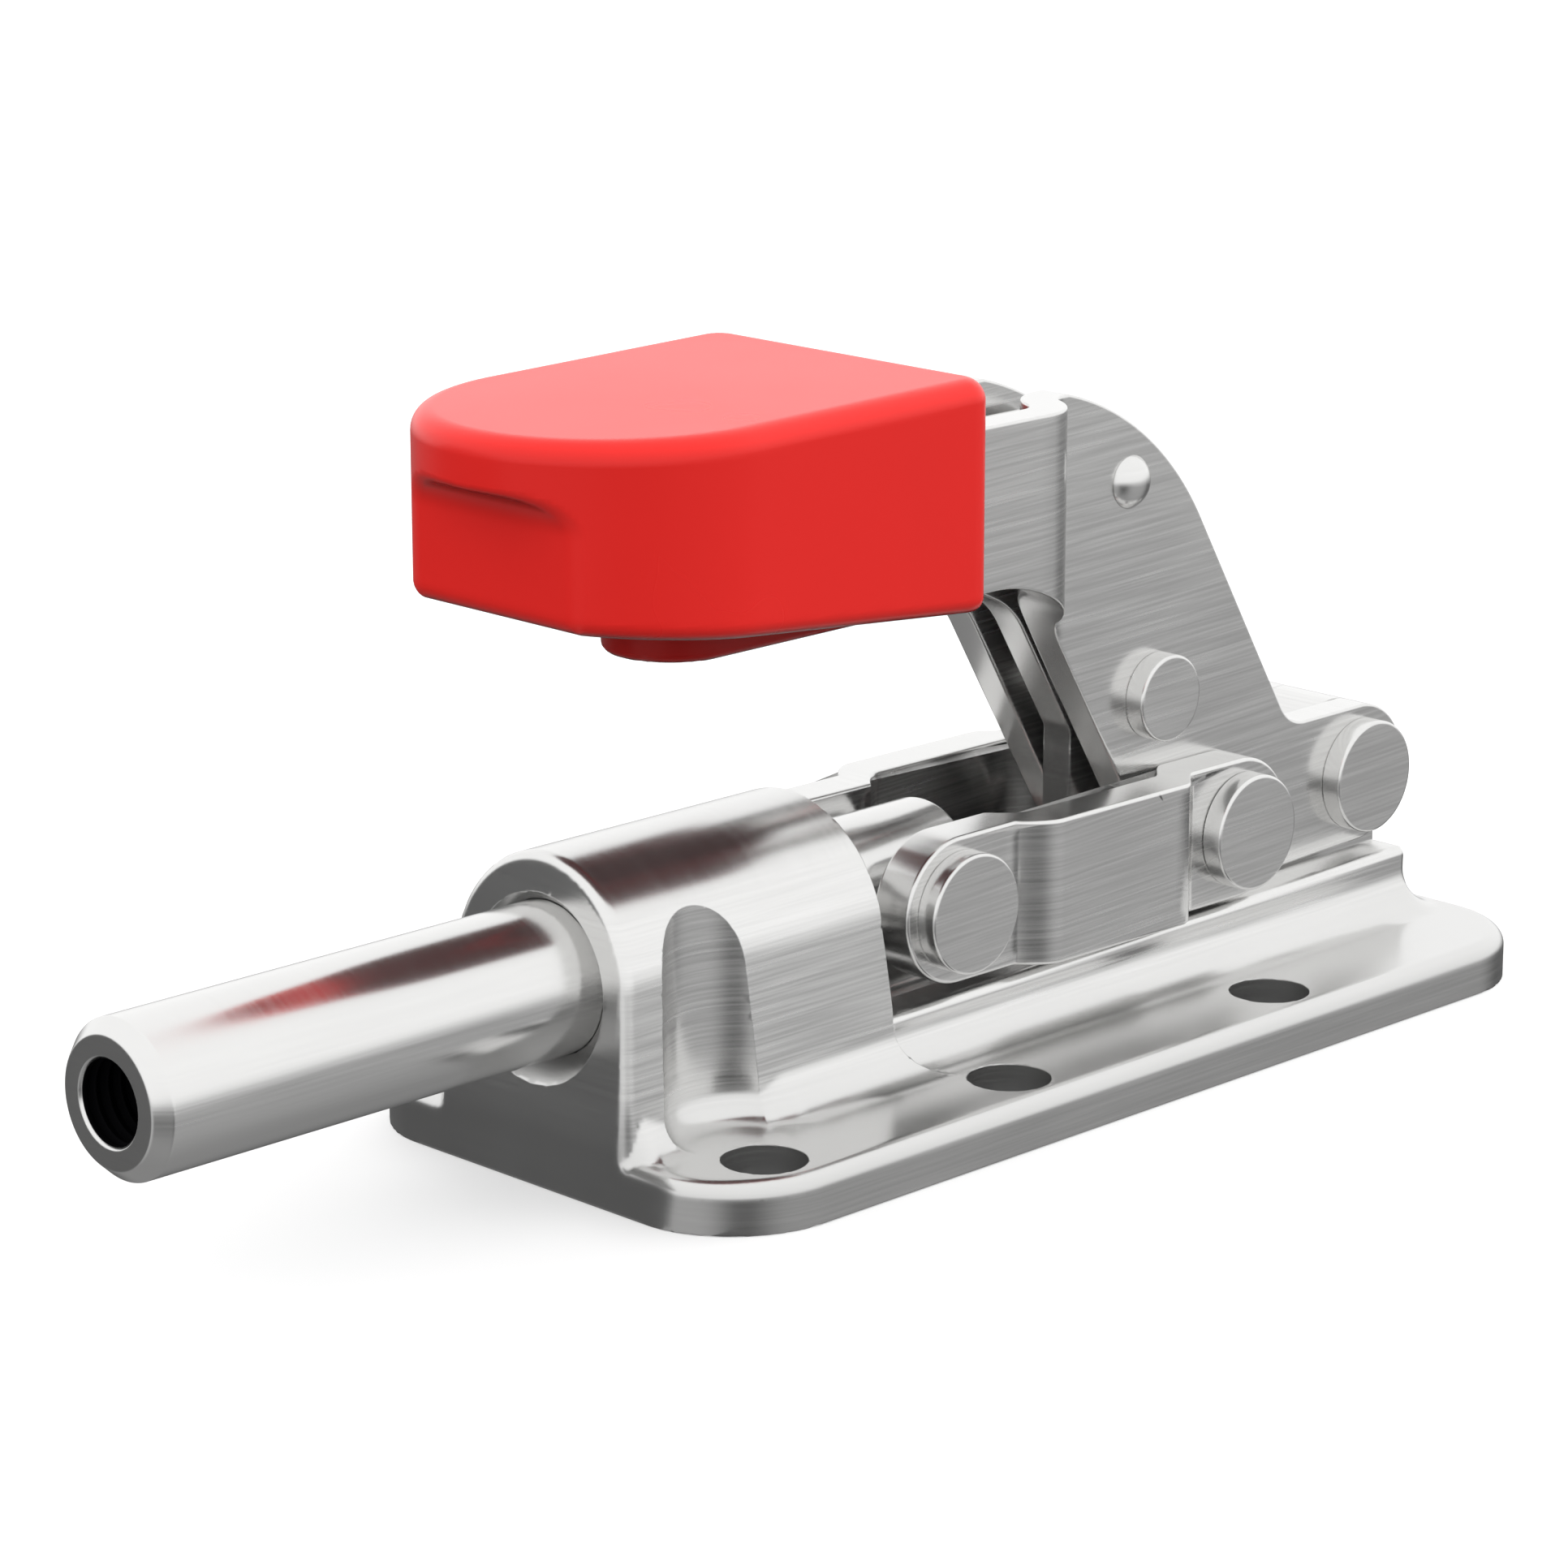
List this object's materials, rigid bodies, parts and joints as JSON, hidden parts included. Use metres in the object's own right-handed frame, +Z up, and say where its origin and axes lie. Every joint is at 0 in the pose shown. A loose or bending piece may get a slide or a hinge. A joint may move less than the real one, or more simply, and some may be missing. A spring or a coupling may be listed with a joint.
{
  "type": "toggle clamp",
  "caption": "Straight-line toggle clamp: flanged base with a barrel, sliding plunger, two toggle links and a lever with a T-shaped red grip.",
  "frame": {"origin": "centre of the four outer bolt holes, on the underside of the base", "axes": "+X along the plunger towards the rear of the clamp, +Y across it, +Z up from the mounting face"},
  "size_m": [0.2179, 0.07, 0.094],
  "materials": {
    "casting": "brushed",
    "plate": "brushed",
    "pin": "ground",
    "rod": "turned and polished",
    "bush": "satin",
    "grip": "gloss"
  },
  "bodies": {
    "base": {"base_casting": "casting", "lug_bush": "bush"},
    "plunger": {"plunger": "rod", "plunger_bush": "bush", "plunger_pin": "pin"},
    "lever": {"toggle_pin": "pin", "base_pivot_pin": "pin", "lever_pin": "pin", "grip_rivet": "pin", "lever_plate_near": "plate", "lever_plate_far": "plate", "centre_plate": "plate", "toggle_spacer_near": "pin", "toggle_spacer_far": "pin", "lever_spacer_near": "pin", "lever_spacer_far": "pin", "rivet_spacer_near": "pin", "rivet_spacer_far": "pin", "grip": "grip"},
    "links": {"link_near": "plate", "link_far": "plate", "plunger_pin_end_near": "pin", "plunger_pin_end_far": "pin"}
  },
  "joints": [
    {"name": "lever_pivot", "type": "hinge", "parent": "base", "child": "lever", "pos_m": [0.08535, 0, 0.0251], "axis": [0, 1, 0], "range_deg": [0, 150]},
    {"name": "link_pivot", "type": "hinge", "parent": "lever", "child": "links", "pos_m": [0.05325, 0, 0.0248], "axis": [0, 1, 0], "range_deg": [-167.89, 0]},
    {"name": "plunger_slide", "type": "slide", "parent": "base", "child": "plunger", "axis": [1, 0, 0], "range_m": [0, 0.06227]}
  ],
  "couplings": [
    {"joint": "link_pivot", "follows": "lever_pivot", "ratio": -1.1192},
    {"joint": "plunger_slide", "follows": "lever_pivot", "m_per_rad": 0.023785}
  ]
}
